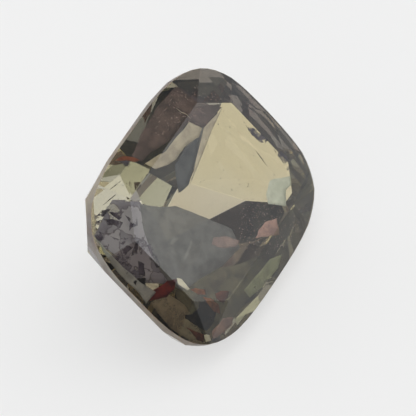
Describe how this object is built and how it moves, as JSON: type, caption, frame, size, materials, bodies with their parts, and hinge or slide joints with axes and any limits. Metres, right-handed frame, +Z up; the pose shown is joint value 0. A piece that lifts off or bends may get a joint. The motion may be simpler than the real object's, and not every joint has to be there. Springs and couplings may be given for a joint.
{
  "type": "faceted cushion-cut gemstone",
  "caption": "Cut and polished alexandrite with a rounded oblong outline, a low faceted crown and a deep pavilion, lying tilted on one facet.",
  "frame": {"origin": "centre of the stone's bounding box, on the surface that it lies on", "axes": "+Z up with the stone lying on one pavilion facet as pictured, +X to the picture's right, +Y away from its camera"},
  "size_m": [0.0058, 0.0068, 0.0043],
  "materials": {
    "alexandrite": "polished, transparent khaki green with brown and grey-violet flashes, refractive index about 1.75"
  },
  "bodies": {
    "root": {"cut_stone": "alexandrite"}
  },
  "joints": []
}
